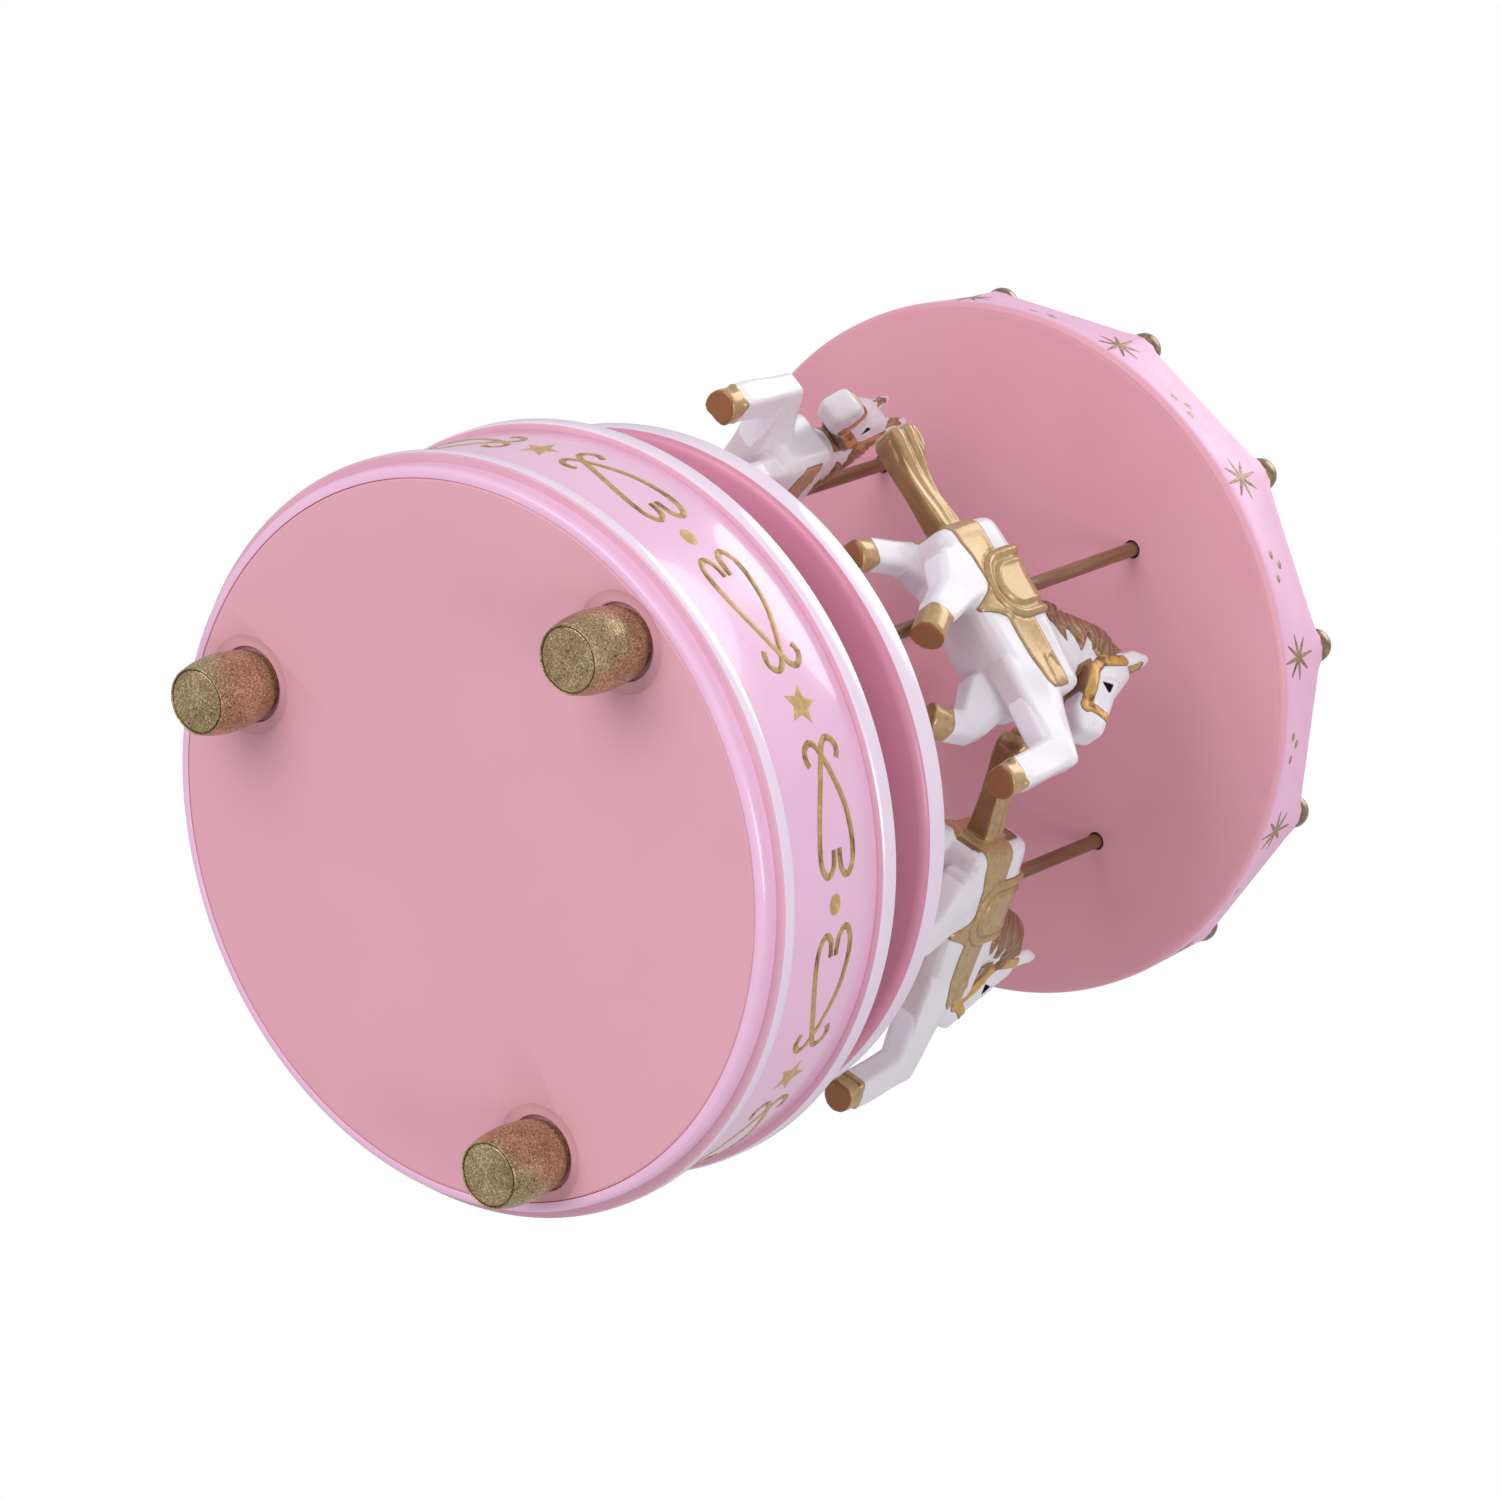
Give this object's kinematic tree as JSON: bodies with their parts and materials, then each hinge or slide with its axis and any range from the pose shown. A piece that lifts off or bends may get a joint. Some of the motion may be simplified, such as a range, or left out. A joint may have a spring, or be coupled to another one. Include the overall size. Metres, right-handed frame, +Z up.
{
  "type": "carousel music box",
  "caption": "Wind-up carousel music box: round footed base with comb movement, turntable on the winding arbor, galloping horses on poles under a twelve-sided canopy.",
  "frame": {"origin": "on the turning axis, in the plane the three feet stand on", "axes": "+Z up along the turning axis; the outer side of horse_1 faces -Y and its nose points along +X"},
  "size_m": [0.1016, 0.1016, 0.1776],
  "materials": {
    "foot_gilt": "rubbed antique gold paint",
    "trim_gilt": "satin gold paint",
    "pole_brass": "satin brown-gold paint",
    "plate_pink": "satin salmon pink",
    "band_pink": "gloss orchid pink",
    "table_pink": "gloss pale lavender",
    "canopy_pink": "gloss orchid pink",
    "roof_pink": "gloss pink and white",
    "horse_white": "gloss white with gold paint",
    "socket_white": "moulded",
    "brass": "machined",
    "screw_steel": "turned",
    "housing_steel": "nickel plated",
    "spring_steel": "blued",
    "comb_steel": "ground",
    "fan_plastic": "moulded nylon"
  },
  "bodies": {
    "base": {"foot_1": "foot_gilt", "foot_2": "foot_gilt", "foot_3": "foot_gilt", "foot_screws": "screw_steel", "bottom_plate": "plate_pink", "base_wall": "band_pink", "base_deck": "band_pink", "deck_bush": "brass", "bedplate": "brass", "movement_screws": "screw_steel", "spring_housing": "housing_steel", "mainspring": "spring_steel", "comb": "comb_steel", "comb_anvil": "brass", "comb_screws": "screw_steel", "cylinder_brackets": "brass", "governor_frame": "brass"},
    "carousel": {"winding_arbor": "screw_steel", "great_wheel": "brass", "hub": "brass", "hub_screws": "screw_steel", "arbor_nut": "screw_steel", "turntable": "table_pink", "centre_column": "plate_pink", "rod_anchor": "screw_steel", "tie_rod": "screw_steel", "pole_1": "pole_brass", "pole_2": "pole_brass", "pole_3": "pole_brass", "pole_4": "pole_brass", "horse_1": "horse_white", "horse_2": "horse_white", "horse_3": "horse_white", "horse_4": "horse_white", "canopy_plate": "plate_pink", "pole_sockets": "socket_white", "canopy_band": "canopy_pink", "canopy_roof": "roof_pink", "roof_beads": "trim_gilt", "roof_collar": "trim_gilt", "finial": "trim_gilt"},
    "cylinder": {"music_cylinder": "brass", "cylinder_shaft": "screw_steel", "cylinder_pinion": "screw_steel", "cylinder_gear": "brass"},
    "idler": {"governor_wheel": "brass"},
    "fan": {"governor_fan": "fan_plastic"}
  },
  "joints": [
    {"name": "carousel_spin", "type": "hinge", "parent": "base", "child": "carousel", "pos_m": [0, 0, 0.045], "axis": [0, 0, 1], "range_deg": [-1300, 0], "stiffness_Nm_per_rad": 0.001},
    {"name": "cylinder_spin", "type": "hinge", "parent": "base", "child": "cylinder", "pos_m": [0.0245, 0, 0.02205], "axis": [1, 0, 0], "range_deg": [-5200, 0]},
    {"name": "idler_spin", "type": "hinge", "parent": "base", "child": "idler", "pos_m": [0.0351, 0.00816, 0.02205], "axis": [1, 0, 0], "range_deg": [0, 15600]},
    {"name": "fan_spin", "type": "hinge", "parent": "base", "child": "fan", "pos_m": [0.0365, 0.0136, 0.02], "axis": [0, 0, 1], "range_deg": [-124800, 0]}
  ],
  "couplings": [
    {"joint": "cylinder_spin", "follows": "carousel_spin", "ratio": 4},
    {"joint": "idler_spin", "follows": "carousel_spin", "ratio": -12},
    {"joint": "fan_spin", "follows": "carousel_spin", "ratio": 96}
  ]
}
